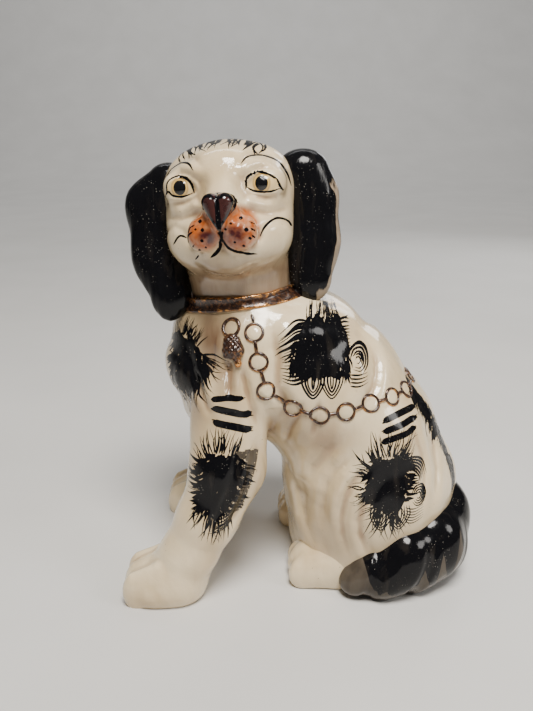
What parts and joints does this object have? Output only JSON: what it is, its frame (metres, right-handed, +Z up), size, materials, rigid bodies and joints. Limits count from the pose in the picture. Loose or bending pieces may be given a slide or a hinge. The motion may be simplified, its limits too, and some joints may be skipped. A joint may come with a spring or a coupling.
{
  "type": "ceramic dog figurine",
  "caption": "Seated spaniel mantel figurine in hollow glazed earthenware, head turned to the viewer, with black ears and tail, a collar, a padlock and a chain in relief.",
  "frame": {"origin": "centre of the bounding box's footprint, on the plane that the figure stands on (z = 0)", "axes": "+Z up; -Y the display side, which the turned face looks out of; -X the way the body and the forepaws point"},
  "size_m": [0.165, 0.1108, 0.2027],
  "materials": {
    "cream_glaze": "glossy clear glaze over cream earthenware, slightly pooled and browned in the creases",
    "black_enamel": "glossy black painted enamel under glaze",
    "copper_lustre": "brown enamel with a copper metallic lustre",
    "bare_clay": "matt biscuit, wiped clean of glaze where it rests"
  },
  "bodies": {
    "root": {"body_front_shell": "cream_glaze", "body_back_shell": "cream_glaze", "face_shell": "cream_glaze", "head_back_shell": "cream_glaze", "right_ear": "black_enamel", "left_ear": "black_enamel", "left_foreleg": "cream_glaze", "right_foreleg": "cream_glaze", "left_hind_foot": "cream_glaze", "right_hind_foot": "cream_glaze", "tail": "black_enamel", "base_slab": "bare_clay", "collar": "copper_lustre", "padlock": "copper_lustre", "padlock_ring": "copper_lustre", "chain_links": "copper_lustre", "chain_joiners": "copper_lustre"}
  },
  "joints": []
}
